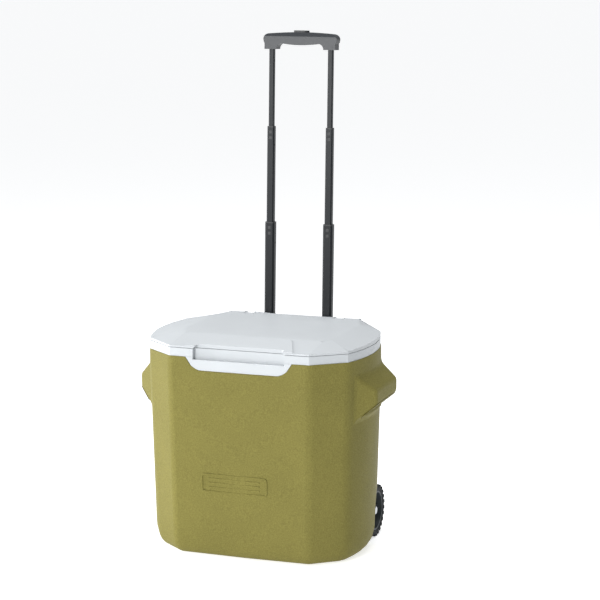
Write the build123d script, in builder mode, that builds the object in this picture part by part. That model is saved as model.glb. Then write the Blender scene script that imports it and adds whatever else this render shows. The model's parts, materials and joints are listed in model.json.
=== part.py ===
"""A small insulated cooler on two wheels, with a hinged lid and a telescoping pull handle.

Millimetres. +X is the cooler's right, -Y its front, +Z up. The origin is on the floor, under the
middle of the body. The handle stands fully pulled out and the lid is shut.
"""
import os
from math import cos, radians, sin

from build123d import *

os.makedirs("parts", exist_ok=True)

# ---------------------------------------------------------------- driving dimensions
# Plan of the rim: a long octagon whose short sides bow outwards.
FRONT_X, FRONT_Y, FRONT_MID_Y = 140.0, -160.5, -163.5
SIDE_X, SIDE_Y = 200.5, -112.0
BULGE_X, BULGE_Y = 219.5, -10.0
REAR_SIDE_X, REAR_SIDE_Y = 204.0, 82.0
REAR_X, REAR_Y = 140.0, 160.0

SHELL_TOP = 394.0                # top edge of the coloured shell
SHELL_PROUD = 1.5                # the shell stands this far outside the rim
BEND_Z, TURN_Z = 36.0, 12.0      # where the walls start to curl under, and half way round
BEND_INSET, TURN_INSET, FLOOR_INSET = 11.7, 17.5, 28.0
SIDE_EASE = 4.2                  # the short sides lean in less than the other walls, by this much
UNDERCUT_Y = 92.0                # behind the axles the floor slopes up, so that the cooler can tip
UNDERCUT_SLOPE = radians(33.0)
SKIN = 3.0                       # moulded wall thickness

RIM_TOP = 410.0                  # top of the white rim
LID_BOTTOM = 410.6
LID_EDGE_TOP = 415.0
LID_TOP = 426.0
WALL = 34.0                      # insulated wall, skins included
TUB_FLOOR = 96.0                 # underside of the inner liner's floor
LINER_SKIN = 2.5

TONGUE_BOTTOM = 369.5            # the rim dips in a tongue at the front
TONGUE_TOP_X, TONGUE_LOW_X = 107.0, 85.0
TONGUE_ROUND = 18.0
RECESS_X, RECESS_LOW = 92.0, 389.5
RECESS_BACK_Y = -153.5

PLATEAU_FRONT_Y, PLATEAU_X = -76.0, 160.0       # flat top of the lid
PLATEAU_SIDE_Y, LID_SIDE_Y = (-20.0, 22.0, 112.0), (-45.0, 22.0)
HINGE_Y = 152.5
HINGE_Z = (LID_BOTTOM + LID_TOP) / 2
HINGE_R = (LID_TOP - LID_BOTTOM) / 2
EAR_X, EAR_WIDTH, EAR_R = 95.0, 16.0, 6.0
PIN_R, PIN_LENGTH = 2.0, 52.0
RUN_GAP = 0.05                   # radial clearance of a pin or axle that turns

GRIP_ROOT_X, GRIP_TIP_X = 205.0, 243.0          # carrying handles at the sides
GRIP_ROOT_Y, GRIP_TIP_Y = (-92.0, 84.0), (-62.0, 68.0)
GRIP_ROOT_Z, GRIP_TIP_Z = (275.0, 362.0), (306.0, 332.0)
SCOOP_Y = (-54.0, 60.0)          # finger space under each of them
SCOOP_MOUTH_X, SCOOP_IN_X, SCOOP_OUT_X = 220.5, 209.0, 236.0
SCOOP_BOTTOM, SCOOP_KNEE, SCOOP_TOP, SCOOP_CORNER = 264.0, 300.0, 341.0, 6.0

WHEEL_R, WHEEL_Y = 52.0, 93.0
WHEEL_IN, WHEEL_OUT = 170.0, 197.0
WELL_R, WELL_IN = 60.0, 164.0
AXLE_R, AXLE_IN, AXLE_OUT = 5.0, 143.0, 192.0
BOSS_R, FLANGE_R, FLANGE_OUT = 13.0, 22.0, 167.0
WASHER_R, WASHER_THICK = 9.5, 1.6
HUB_R, HUB_OUT = 12.0, 187.2
WEB_IN, WEB_OUT = 175.0, 178.0
RIM_IN_R, RIM_OUT_R, RIM_INSET = 35.0, 39.0, 2.0
SPOKE_WIDTH, SPOKE_DEPTH = 6.0, 8.0
TREAD_R, SHOULDER_R = 50.0, 44.0
LUG_WIDTH, LUG_LENGTH = 6.5, 11.0
SPOKES, LUGS = 6, 26

TILT = radians(2.0)              # the handle leans back with the rear wall
HANDLE_X = 61.8                  # each column's distance from the middle
FOOT_Y = 165.3                   # where the handle's axis would meet the floor
# Each stage of a column: width, depth, corner chamfer and wall, largest first.
GUIDE = (24.4, 21.6, 3.0, 1.0)
LOWER = (20.0, 17.2, 3.2, 1.0)
MIDDLE = (14.6, 13.2, 2.0, 1.0)
UPPER = (10.4, 9.4, 1.2, 0.9)
# Heights up the handle's axis with the handle pulled out.
GUIDE_BOTTOM, GUIDE_TOP = 108.0, 388.0
LOWER_BOTTOM, LOWER_TOP = 356.0, 608.0
MIDDLE_BOTTOM, MIDDLE_TOP = 575.8, 801.0
UPPER_BOTTOM, UPPER_TOP = 773.5, 966.0
SLIDE_GAP = 0.25                 # gap on each side of a sliding tube
BOLT_R, BOLT_LENGTH, GROMMET_R = 2.0, 4.2, 2.6
BUSH_LENGTH, BUSH_FLANGE = 26.0, 2.5
PLUG_FOOT, PLUG_STEM = 20.0, 8.5
WINDOW = 6.0                     # square snap windows below each tube's top
WINDOW_DROPS = (11.5, 23.0)

COLLAR_BOTTOM = 955.0
HAND_HALF, HAND_DEPTH = 77.0, 24.0
HAND_TOP, HAND_SHOULDER, HAND_BELLY = 989.0, 986.0, 963.5
HAND_SPLIT, HAND_EDGE = 978.0, 981.0
SHOULDER_X, HAND_MID_TOP = 66.0, 988.25
END_BOW, END_Z, STEP_Z = (73.8, 982.6), 975.0, 967.0
COLLAR_IN, COLLAR_OUT = 49.3, 74.3
INNER_BOW, INNER_X, INNER_Z = (46.2, 963.4), 38.0, 966.6
BUTTON_A, BUTTON_B = 16.0, 8.0
BUTTON_BOTTOM, BUTTON_TOP = 977.5, 992.5
BUTTON_TRAVEL = 3.6
YOKE_BOTTOM, YOKE_TOP = 972.8, 975.5
CHANNEL_FLOOR = 969.0

BOTH_SIDES = (-1, 1)


# ---------------------------------------------------------------- shared outlines and planes
def plan_outline(grow, ease=0.0):
    """The rim's plan, moved outwards by grow, and the bow of its short sides by ease as well."""
    bulge_x, rear_side_x = BULGE_X + ease, REAR_SIDE_X + ease
    with BuildSketch() as plan:
        with BuildLine():
            ThreePointArc((-FRONT_X, FRONT_Y), (0, FRONT_MID_Y), (FRONT_X, FRONT_Y))
            Line((FRONT_X, FRONT_Y), (SIDE_X, SIDE_Y))
            ThreePointArc((SIDE_X, SIDE_Y), (bulge_x, BULGE_Y), (rear_side_x, REAR_SIDE_Y))
            Polyline(
                (rear_side_x, REAR_SIDE_Y),
                (REAR_X, REAR_Y),
                (-REAR_X, REAR_Y),
                (-rear_side_x, REAR_SIDE_Y),
            )
            ThreePointArc((-rear_side_x, REAR_SIDE_Y), (-bulge_x, BULGE_Y), (-SIDE_X, SIDE_Y))
            Line((-SIDE_X, SIDE_Y), (-FRONT_X, FRONT_Y))
        make_face()
        if grow:
            offset(amount=grow, kind=Kind.INTERSECTION)
    return plan.sketch


def body_block(shrink, bottom):
    """Solid inside the body's outer surface, smaller all round by shrink."""
    levels = (
        (SHELL_TOP, SHELL_PROUD, 0.0),
        (BEND_Z, -BEND_INSET, SIDE_EASE),
        (TURN_Z, -TURN_INSET, SIDE_EASE),
        (0.0, -FLOOR_INSET, SIDE_EASE),
    )
    slope_normal = Vector(0, sin(UNDERCUT_SLOPE), -cos(UNDERCUT_SLOPE))
    slope_origin = Vector(0, UNDERCUT_Y, 0) - slope_normal * shrink
    with BuildPart() as block:
        for height, grow, ease in levels:
            with BuildSketch(Plane.XY.offset(max(height, bottom))):
                add(plan_outline(grow - shrink, ease))
        loft(ruled=True)
        split(bisect_by=Plane(origin=slope_origin, z_dir=slope_normal), keep=Keep.BOTTOM)
    return block.part


def handle_plane(along, x=0.0, back=0.0):
    """Plane square to the handle's axis, so far along it from the floor."""
    y = FOOT_Y + along * sin(TILT) + back * cos(TILT)
    z = along * cos(TILT) - back * sin(TILT)
    return Plane(origin=(x, y, z), x_dir=(1, 0, 0), z_dir=(0, sin(TILT), cos(TILT)))


def handle_front(back=0.0):
    """Upright plane of the handle: its x is the cooler's X and its y runs up the handle's axis."""
    origin = (0, FOOT_Y + back * cos(TILT), -back * sin(TILT))
    return Plane(origin=origin, x_dir=(1, 0, 0), z_dir=(0, -cos(TILT), sin(TILT)))


def cut_corner(width, depth, corner, mode=Mode.ADD):
    """Rectangle with chamfered corners, in the open sketch."""
    a, b = width / 2, depth / 2
    quarter = ((a, b - corner), (a - corner, b))
    points = [quarter[0], quarter[1]]
    points += [(-x, y) for x, y in reversed(quarter)]
    points += [(-x, -y) for x, y in quarter]
    points += [(x, -y) for x, y in reversed(quarter)]
    Polygon(*points, align=None, mode=mode)


def save(part, name):
    part.label = name
    export_step(part, f"parts/{name}.step")


# ---------------------------------------------------------------- wheel wells and carrying handles
def well_block(grow):
    """Space kept clear round both wheels, open below and to the side, larger by grow."""
    with BuildPart() as wells:
        for side in BOTH_SIDES:
            with BuildSketch(Plane.YZ.offset(side * (WELL_IN - grow))):
                with Locations((WHEEL_Y, WHEEL_R)):
                    Circle(WELL_R + grow)
                    Rectangle(2 * (WELL_R + grow), 200, align=(Align.CENTER, Align.MAX))
            extrude(amount=side * 100)
    return wells.part


def scoop_block(grow):
    """Finger space under both carrying handles, larger by grow."""
    inner_x, outer_x, shoulder = SCOOP_IN_X, SCOOP_OUT_X, SCOOP_TOP - SCOOP_CORNER - 1
    with BuildPart() as scoops:
        with BuildSketch(Plane.XZ.offset(-SCOOP_Y[0] + grow)):
            for side in BOTH_SIDES:
                with BuildLine():
                    Polyline(
                        (side * (SCOOP_MOUTH_X - grow), SCOOP_BOTTOM - grow),
                        (side * (inner_x - grow), SCOOP_KNEE),
                        (side * (inner_x - grow), shoulder + grow / 2),
                        (side * (inner_x + SCOOP_CORNER - grow / 2), SCOOP_TOP + grow),
                        (side * (outer_x - SCOOP_CORNER + grow / 2), SCOOP_TOP + grow),
                        (side * (outer_x + grow), shoulder + grow / 2),
                        (side * (outer_x + grow), SCOOP_BOTTOM - grow),
                        close=True,
                    )
                make_face()
        extrude(amount=-(SCOOP_Y[1] - SCOOP_Y[0] + 2 * grow))
    return scoops.part


def carrying_handles():
    """Tapered blocks that stand out from the body's sides."""
    with BuildPart() as handles:
        for side in BOTH_SIDES:
            for x, (y0, y1), (z0, z1) in (
                (GRIP_ROOT_X, GRIP_ROOT_Y, GRIP_ROOT_Z),
                (GRIP_TIP_X, GRIP_TIP_Y, GRIP_TIP_Z),
            ):
                with BuildSketch(Plane.YZ.offset(side * x)):
                    with Locations(((y0 + y1) / 2, (z0 + z1) / 2)):
                        Rectangle(y1 - y0, z1 - z0)
            loft(ruled=True)
    return handles.part


def tongue_profile(grow):
    """Front view of the rim's tongue, larger by grow."""
    top_x, low_x, low_z = TONGUE_TOP_X + grow, TONGUE_LOW_X + grow, TONGUE_BOTTOM - grow
    with BuildSketch() as profile:
        with BuildLine():
            FilletPolyline(
                (-top_x, SHELL_TOP + 1),
                (-low_x - 5, low_z),
                (low_x + 5, low_z),
                (top_x, SHELL_TOP + 1),
                radius=TONGUE_ROUND,
            )
            Line((top_x, SHELL_TOP + 1), (-top_x, SHELL_TOP + 1))
        make_face()
    return profile.sketch


# ---------------------------------------------------------------- axle sockets and bracket screws
def x_cylinder(radius, inner, outer, side, y=WHEEL_Y, z=WHEEL_R):
    """Cylinder along X between two distances from the middle, on one side."""
    with BuildPart() as rod:
        with BuildSketch(Plane.YZ.offset(side * inner)):
            with Locations((y, z)):
                Circle(radius)
        extrude(amount=side * (outer - inner))
    return rod.part


for side_name, side in (("left", -1), ("right", 1)):
    with BuildPart() as axle:
        add(x_cylinder(AXLE_R, AXLE_IN, AXLE_OUT, side))
    save(axle.part, f"axle_{side_name}")

    with BuildPart() as socket:
        add(x_cylinder(BOSS_R, AXLE_IN - 4, WELL_IN, side))
        add(x_cylinder(FLANGE_R, WELL_IN, FLANGE_OUT, side))
        add(x_cylinder(AXLE_R, AXLE_IN, AXLE_OUT, side), mode=Mode.SUBTRACT)
    save(socket.part, f"axle_socket_{side_name}")

WASHER_IN = HUB_OUT + 0.4         # the outer washer runs against the hub
NUT_IN, NUT_OUT, NUT_R = WASHER_IN + WASHER_THICK, 194.5, 8.0
with BuildPart() as washers:
    for side in BOTH_SIDES:
        for inner, outer in ((FLANGE_OUT + 0.3, WHEEL_IN - 0.4), (WASHER_IN, WASHER_IN + WASHER_THICK)):
            add(x_cylinder(WASHER_R, inner, outer, side))
            add(x_cylinder(AXLE_R + RUN_GAP, inner, outer, side), mode=Mode.SUBTRACT)
save(washers.part, "axle_washers")

with BuildPart() as push_nuts:
    for side in BOTH_SIDES:
        add(x_cylinder(NUT_R, NUT_IN, NUT_OUT, side))
        add(x_cylinder(AXLE_R, NUT_IN, AXLE_OUT, side), mode=Mode.SUBTRACT)
    crowns = push_nuts.edges().filter_by(lambda edge: abs(edge.center().X) > NUT_OUT - 0.1)
    fillet(crowns, 1.5)
save(push_nuts.part, "axle_push_nuts")

SCREW_X = (-30.0, 30.0)
SCREW_ALONG = (122.0, 138.0, 356.0, 374.0)
PLATE_BACK = -12.0               # rear face of the bracket plates, from the handle's axis
with BuildPart() as bracket_screws:
    for along in SCREW_ALONG:
        for x in SCREW_X:
            with BuildSketch(handle_front(PLATE_BACK)):
                with Locations((x, along)):
                    Circle(2.0)
            extrude(amount=14)
            with BuildSketch(handle_front(PLATE_BACK)):
                with Locations((x, along)):
                    Circle(4.0)
                    Rectangle(1.2, 4.8, mode=Mode.SUBTRACT)
                    Rectangle(4.8, 1.2, mode=Mode.SUBTRACT)
            extrude(amount=-2.4)
            with BuildSketch(handle_front(PLATE_BACK)):
                with Locations((x, along)):
                    Circle(3.0)
            extrude(amount=-1.2)
save(bracket_screws.part, "bracket_screws")


# ---------------------------------------------------------------- body: shell, insulation and liner
outer_block = body_block(0.0, 0.0)
with BuildPart() as shell_fill:
    add(body_block(SKIN, SKIN))
    add(well_block(SKIN), mode=Mode.SUBTRACT)
    add(scoop_block(SKIN), mode=Mode.SUBTRACT)

with BuildPart() as body_shell:
    add(outer_block)
    add(carrying_handles())
    add(well_block(0.0), mode=Mode.SUBTRACT)
    add(scoop_block(0.0), mode=Mode.SUBTRACT)
    add(shell_fill.part, mode=Mode.SUBTRACT)
    with BuildSketch(Plane.XZ.offset(120)):
        add(tongue_profile(0.8))
    extrude(amount=60, mode=Mode.SUBTRACT)
    for side in BOTH_SIDES:
        add(x_cylinder(BOSS_R, AXLE_IN - 4, WELL_IN, side), mode=Mode.SUBTRACT)
    add(bracket_screws.part, mode=Mode.SUBTRACT)
save(body_shell.part, "body_shell")

with BuildPart() as tub_block:
    for height, grow in ((RIM_TOP, -WALL + LINER_SKIN), (TUB_FLOOR, -WALL - 11)):
        with BuildSketch(Plane.XY.offset(height)):
            add(plan_outline(grow))
    loft(ruled=True)
    for side in BOTH_SIDES:
        add(x_cylinder(WELL_R + 13, WELL_IN - 12, 260, side), mode=Mode.SUBTRACT)

with BuildPart() as tub_space:
    for height, grow in ((RIM_TOP, -WALL), (TUB_FLOOR + LINER_SKIN, -WALL - 11 - LINER_SKIN)):
        with BuildSketch(Plane.XY.offset(height)):
            add(plan_outline(grow))
    loft(ruled=True)
    for side in BOTH_SIDES:
        add(x_cylinder(WELL_R + 13 + LINER_SKIN, WELL_IN - 12 - LINER_SKIN, 260, side), mode=Mode.SUBTRACT)

with BuildPart() as rim_space:
    with BuildSketch(Plane.XY.offset(SHELL_TOP)):
        add(plan_outline(-SKIN))
    extrude(amount=RIM_TOP - SHELL_TOP - SKIN)
    add(tub_block.part, mode=Mode.SUBTRACT)
    with Locations((0, RECESS_BACK_Y + SKIN, RIM_TOP)):
        Box(2 * RECESS_X + 2 * SKIN, 100, 80, align=(Align.CENTER, Align.MAX, Align.CENTER), mode=Mode.SUBTRACT)

with BuildPart() as hinge_ears:
    for side in BOTH_SIDES:
        with BuildSketch(Plane.YZ.offset(side * EAR_X - EAR_WIDTH / 2)):
            with Locations((HINGE_Y, HINGE_Z)):
                Circle(EAR_R)
                Rectangle(2 * EAR_R, HINGE_Z - RIM_TOP + 1, align=(Align.CENTER, Align.MAX))
        extrude(amount=EAR_WIDTH)

with BuildPart() as hinge_pins:
    for side in BOTH_SIDES:
        with BuildSketch(Plane.YZ.offset(side * EAR_X - PIN_LENGTH / 2)):
            with Locations((HINGE_Y, HINGE_Z)):
                Circle(PIN_R)
        extrude(amount=PIN_LENGTH)
save(hinge_pins.part, "hinge_pins")

with BuildPart() as tongue:
    with BuildSketch(Plane.XZ.offset(-RECESS_BACK_Y - SKIN)):
        add(tongue_profile(0.0))
    extrude(amount=20)
    add(body_block(0.6, 0.0), mode=Mode.INTERSECT)

with BuildPart() as inner_liner:
    with BuildSketch(Plane.XY.offset(SHELL_TOP)):
        add(plan_outline(0.0))
    extrude(amount=RIM_TOP - SHELL_TOP)
    add(tub_block.part)
    add(tongue.part)
    add(rim_space.part, mode=Mode.SUBTRACT)
    add(tub_space.part, mode=Mode.SUBTRACT)
    with BuildSketch(Plane.XZ.offset(-RECESS_BACK_Y)):
        with Locations((0, RECESS_LOW)):
            Rectangle(2 * RECESS_X, 40, align=(Align.CENTER, Align.MIN))
    extrude(amount=40, mode=Mode.SUBTRACT)
    add(hinge_ears.part)
    add(hinge_pins.part, mode=Mode.SUBTRACT)
save(inner_liner.part, "inner_liner")

with BuildPart() as body_foam:
    add(shell_fill.part)
    add(rim_space.part)
    add(tub_block.part, mode=Mode.SUBTRACT)
    add(tongue.part, mode=Mode.SUBTRACT)
    for side in BOTH_SIDES:
        add(x_cylinder(BOSS_R, AXLE_IN - 4, WELL_IN, side), mode=Mode.SUBTRACT)
    add(bracket_screws.part, mode=Mode.SUBTRACT)
save(body_foam.part, "body_foam")


# ---------------------------------------------------------------- lid: cover, insulation and liner
def lid_slab(bottom, rear_round):
    """Side view of the lid's thickness, its rear edge rounded about the hinge axis."""
    with BuildPart() as slab:
        with BuildSketch(Plane.YZ.offset(-230)):
            with Locations((HINGE_Y, bottom)):
                Rectangle(400, LID_TOP - bottom, align=(Align.MAX, Align.MIN))
            with Locations((HINGE_Y, HINGE_Z)):
                Circle(rear_round)
        extrude(amount=460)
    return slab.part


def lid_block(shrink):
    """Solid inside the lid's outer surface, smaller by shrink on its top and edges."""
    with BuildPart() as block:
        with BuildSketch(Plane.XY.offset(LID_BOTTOM)):
            add(plan_outline(-shrink))
        extrude(amount=LID_EDGE_TOP - LID_BOTTOM - shrink)
        with BuildSketch(Plane.XY.offset(LID_EDGE_TOP - shrink)):
            with BuildLine():
                Polyline(
                    (FRONT_X, FRONT_Y + shrink),
                    (SIDE_X - shrink, SIDE_Y + shrink),
                    (BULGE_X - 1 - shrink, LID_SIDE_Y[0]),
                    (BULGE_X - 1 - shrink, LID_SIDE_Y[1]),
                    (REAR_SIDE_X - shrink, REAR_SIDE_Y),
                    (REAR_X, REAR_Y - shrink),
                    (0, REAR_Y - shrink),
                    (0, FRONT_Y - 2 + shrink),
                    close=True,
                )
            make_face()
            mirror(about=Plane.YZ)
        with BuildSketch(Plane.XY.offset(LID_TOP - shrink)):
            with BuildLine():
                Polyline(
                    (FRONT_X - 2, PLATEAU_FRONT_Y),
                    (PLATEAU_X - 10, PLATEAU_FRONT_Y + 8),
                    (PLATEAU_X, PLATEAU_SIDE_Y[0]),
                    (PLATEAU_X, PLATEAU_SIDE_Y[1]),
                    (PLATEAU_X - 3, PLATEAU_SIDE_Y[2]),
                    (REAR_X, REAR_Y - 4 - shrink),
                    (0, REAR_Y - 4 - shrink),
                    (0, PLATEAU_FRONT_Y),
                    close=True,
                )
            make_face()
            mirror(about=Plane.YZ)
        loft(ruled=True)
    return block.part


with BuildPart() as lid_space:
    add(lid_block(SKIN))
    with Locations((0, HINGE_Y - HINGE_R - 4, LID_BOTTOM - 5)):
        Box(500, 500, 50, align=(Align.CENTER, Align.MAX, Align.MIN), mode=Mode.INTERSECT)
    with Locations((0, RECESS_BACK_Y + SKIN + 6, LID_BOTTOM - 5)):
        Box(2 * RECESS_X + 2 * SKIN, 100, 50, align=(Align.CENTER, Align.MAX, Align.MIN), mode=Mode.SUBTRACT)

with BuildPart() as lid_cover:
    add(lid_block(0.0))
    add(lid_slab(LID_BOTTOM, HINGE_R), mode=Mode.INTERSECT)
    add(lid_space.part, mode=Mode.SUBTRACT)
    with BuildSketch(Plane.YZ.offset(-RECESS_X + 8)):
        with BuildLine():
            Polyline(
                (RECESS_BACK_Y, LID_BOTTOM - 1),
                (RECESS_BACK_Y + 7, LID_BOTTOM + 7),
                (RECESS_BACK_Y + 7, LID_TOP),
                (RECESS_BACK_Y - 30, LID_TOP),
                (RECESS_BACK_Y - 30, LID_BOTTOM - 1),
                close=True,
            )
        make_face()
    extrude(amount=2 * RECESS_X - 16, mode=Mode.SUBTRACT)
    for side in BOTH_SIDES:
        with Locations((side * EAR_X, HINGE_Y - EAR_R - 2.5, LID_BOTTOM - 5)):
            Box(EAR_WIDTH + 1, 40, 40, align=(Align.CENTER, Align.MIN, Align.MIN), mode=Mode.SUBTRACT)
        with BuildSketch(Plane.YZ.offset(side * EAR_X - PIN_LENGTH / 2 - 0.3)):
            with Locations((HINGE_Y, HINGE_Z)):
                Circle(PIN_R + RUN_GAP)
        extrude(amount=PIN_LENGTH + 0.6, mode=Mode.SUBTRACT)
save(lid_cover.part, "lid_cover")

PLUG_GAP, PLUG_DEEP = 3.5, 10.0
LINER_EDGE = LID_BOTTOM + 2.0
with BuildPart() as lid_liner_block:
    add(lid_space.part)
    with Locations((0, 0, LINER_EDGE)):
        Box(600, 600, 50, align=(Align.CENTER, Align.CENTER, Align.MIN), mode=Mode.SUBTRACT)
    with BuildSketch(Plane.XY.offset(RIM_TOP - PLUG_DEEP)):
        add(plan_outline(-WALL - PLUG_GAP - 1.5))
    with BuildSketch(Plane.XY.offset(LINER_EDGE)):
        add(plan_outline(-WALL - PLUG_GAP))
    loft(ruled=True)

with BuildPart() as lid_plug_space:
    with BuildSketch(Plane.XY.offset(RIM_TOP - PLUG_DEEP + LINER_SKIN)):
        add(plan_outline(-WALL - PLUG_GAP - 1.5 - LINER_SKIN))
    with BuildSketch(Plane.XY.offset(LINER_EDGE)):
        add(plan_outline(-WALL - PLUG_GAP - LINER_SKIN))
    loft(ruled=True)

with BuildPart() as lid_liner:
    add(lid_liner_block.part)
    add(lid_plug_space.part, mode=Mode.SUBTRACT)
save(lid_liner.part, "lid_liner")

with BuildPart() as lid_foam:
    add(lid_space.part)
    add(lid_plug_space.part)
    add(lid_liner.part, mode=Mode.SUBTRACT)
    add(lid_cover.part, mode=Mode.SUBTRACT)
save(lid_foam.part, "lid_foam")


# ---------------------------------------------------------------- telescoping handle: tubes
def grow_section(stage, grow):
    """A stage's outline with every side moved outwards by grow."""
    width, depth, corner, _ = stage
    return width + 2 * grow, depth + 2 * grow, corner + grow * (2 - 2 ** 0.5)


def tube(stage, bottom, top, side):
    """One column of a stage: a thin tube with chamfered corners."""
    with BuildPart() as column:
        with BuildSketch(handle_plane(bottom, side * HANDLE_X)):
            cut_corner(*grow_section(stage, 0.0))
            cut_corner(*grow_section(stage, -stage[3]), mode=Mode.SUBTRACT)
        extrude(amount=top - bottom)
    return column.part


def snap_windows(stage, top, side, depth):
    """Blocks at the two snap windows in the tube's front wall."""
    with BuildPart() as blocks:
        for drop in WINDOW_DROPS:
            with BuildSketch(handle_front(-stage[1] / 2 - 0.1 + depth)):
                with Locations((side * HANDLE_X, top - drop)):
                    Rectangle(WINDOW, WINDOW)
            extrude(amount=depth)
    return blocks.part


def lock_hole(stage, along, side, radius, outer, inner):
    """Cylinder through the tube's inner wall at its lock hole, along X."""
    centre = handle_plane(along).origin
    face = HANDLE_X - stage[0] / 2
    return x_cylinder(radius, face - outer, face + inner, side, centre.Y, centre.Z)


def bush(stage, inside, top, side):
    """Plastic sleeve in the mouth of a tube, with a thin flange on top."""
    with BuildPart() as sleeve:
        with BuildSketch(handle_plane(top - BUSH_FLANGE, side * HANDLE_X)):
            cut_corner(*grow_section(stage, 0.0))
        extrude(amount=BUSH_FLANGE)
        with BuildSketch(handle_plane(top - BUSH_LENGTH, side * HANDLE_X)):
            cut_corner(*grow_section(stage, -stage[3]))
        extrude(amount=BUSH_LENGTH - BUSH_FLANGE)
        with BuildSketch(handle_plane(top - BUSH_LENGTH, side * HANDLE_X)):
            cut_corner(*grow_section(inside, SLIDE_GAP))
        extrude(amount=BUSH_LENGTH, mode=Mode.SUBTRACT)
    return sleeve.part


def coil(radius, wire, turns, length):
    """Compression spring along +Z from the origin."""
    with BuildPart() as spring:
        with BuildLine() as path:
            Helix(pitch=(length - wire) / turns, height=length - wire, radius=radius, center=(0, 0, wire / 2))
        with BuildSketch(Plane(path.line @ 0, z_dir=path.line % 0)):
            Circle(wire / 2)
        sweep(is_frenet=True)
    return spring.part


def plug(stage, outside, bottom, side):
    """Foot of a sliding tube: a stem pressed into it and a block that runs in the tube outside."""
    foot = bottom - PLUG_FOOT
    with BuildPart() as block:
        with BuildSketch(handle_plane(foot, side * HANDLE_X)):
            cut_corner(*grow_section(outside, -outside[3] - SLIDE_GAP))
        extrude(amount=PLUG_FOOT)
        with BuildSketch(handle_plane(bottom, side * HANDLE_X)):
            cut_corner(*grow_section(stage, -stage[3]))
        extrude(amount=PLUG_STEM)
        with BuildSketch(handle_plane(foot, side * HANDLE_X)):
            Circle(2.4)
        extrude(amount=PLUG_FOOT + PLUG_STEM, mode=Mode.SUBTRACT)
        add(bolt_space(outside, bottom, side), mode=Mode.SUBTRACT)
    return block.part


def bolt_space(outside, bottom, side):
    """Bore across a plug for its lock bolt, open towards the other column."""
    centre = handle_plane(bottom - PLUG_FOOT / 2).origin
    inner_face = HANDLE_X - outside[0] / 2 + outside[3] + SLIDE_GAP
    return x_cylinder(BOLT_R + 0.2, inner_face, HANDLE_X + 3.0, side, centre.Y, centre.Z)


def lock_bolt(outside, bottom, side):
    """Blunt-nosed bolt, drawn back inside its plug."""
    centre = handle_plane(bottom - PLUG_FOOT / 2).origin
    nose = HANDLE_X - outside[0] / 2 + outside[3] + SLIDE_GAP + 0.6
    with BuildPart() as bolt:
        add(x_cylinder(BOLT_R, nose, nose + BOLT_LENGTH, side, centre.Y, centre.Z))
        chamfer(bolt.edges().filter_by(GeomType.CIRCLE).sort_by(Axis.X)[-1 if side < 0 else 0], 0.6)
    return bolt.part


STAGES = (
    ("lower", LOWER, GUIDE, MIDDLE, LOWER_BOTTOM, LOWER_TOP, MIDDLE_BOTTOM - PLUG_FOOT / 2),
    ("middle", MIDDLE, LOWER, UPPER, MIDDLE_BOTTOM, MIDDLE_TOP, UPPER_BOTTOM - PLUG_FOOT / 2),
    ("upper", UPPER, MIDDLE, None, UPPER_BOTTOM, UPPER_TOP, None),
)

for side_name, side in (("left", -1), ("right", 1)):
    save(tube(GUIDE, GUIDE_BOTTOM, GUIDE_TOP - BUSH_FLANGE, side), f"guide_tube_{side_name}")

with BuildPart() as guide_bushes:
    for side in BOTH_SIDES:
        add(bush(GUIDE, LOWER, GUIDE_TOP, side))
save(guide_bushes.part, "guide_bushes")

for name, stage, outside, inside, bottom, top, lock in STAGES:
    for side_name, side in (("left", -1), ("right", 1)):
        with BuildPart() as column:
            add(tube(stage, bottom, top - (BUSH_FLANGE if inside else 0.0), side))
            if inside:
                add(snap_windows(stage, top, side, 1.6), mode=Mode.SUBTRACT)
                add(lock_hole(stage, lock, side, GROMMET_R, 1.0, 3.0), mode=Mode.SUBTRACT)
        save(column.part, f"{name}_tube_{side_name}")

    with BuildPart() as plugs:
        for side in BOTH_SIDES:
            add(plug(stage, outside, bottom, side))
    save(plugs.part, f"{name}_tube_plugs")

    with BuildPart() as bolts:
        for side in BOTH_SIDES:
            add(lock_bolt(outside, bottom, side))
    save(bolts.part, f"{name}_lock_bolts")

    if inside:
        with BuildPart() as bushes:
            for side in BOTH_SIDES:
                add(bush(stage, inside, top, side))
                add(snap_windows(stage, top, side, 1.1))
                add(lock_hole(stage, lock, side, GROMMET_R + 0.6, 1.0, 3.0), mode=Mode.SUBTRACT)
        save(bushes.part, f"{name}_tube_bushes")

        with BuildPart() as grommets:
            for side in BOTH_SIDES:
                add(lock_hole(stage, lock, side, GROMMET_R, 0.0, stage[3]))
                add(lock_hole(stage, lock, side, BOLT_R + 0.1, 1.0, 3.0), mode=Mode.SUBTRACT)
        save(grommets.part, f"{name}_lock_grommets")


# ---------------------------------------------------------------- telescoping handle: brackets on the body
def bracket(bottom, top, closed):
    """Moulding that holds both guide tubes against the rear wall."""
    with BuildPart() as piece:
        with BuildSketch(handle_plane(bottom)):
            Rectangle(2 * HANDLE_X + 40, 10, align=(Align.CENTER, Align.MAX))
            with Locations((0, PLATE_BACK)):
                Rectangle(2 * HANDLE_X + 40, 12, align=(Align.CENTER, Align.MAX))
            with Locations((-HANDLE_X, -2), (HANDLE_X, -2)):
                Rectangle(34, 32)
            Rectangle(2 * HANDLE_X - 34, -2 * PLATE_BACK, mode=Mode.SUBTRACT)
        extrude(amount=top - bottom)
        add(outer_block, mode=Mode.SUBTRACT)
        for side in BOTH_SIDES:
            with BuildSketch(handle_plane(bottom + closed, side * HANDLE_X)):
                cut_corner(*grow_section(GUIDE, 0.0))
            extrude(amount=top, mode=Mode.SUBTRACT)
        add(bracket_screws.part, mode=Mode.SUBTRACT)
    return piece.part


save(bracket(GUIDE_BOTTOM - 3, GUIDE_BOTTOM + 46, 3.0), "lower_bracket")
save(bracket(GUIDE_TOP - 42, GUIDE_TOP - 4, 0.0), "upper_bracket")


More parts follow.
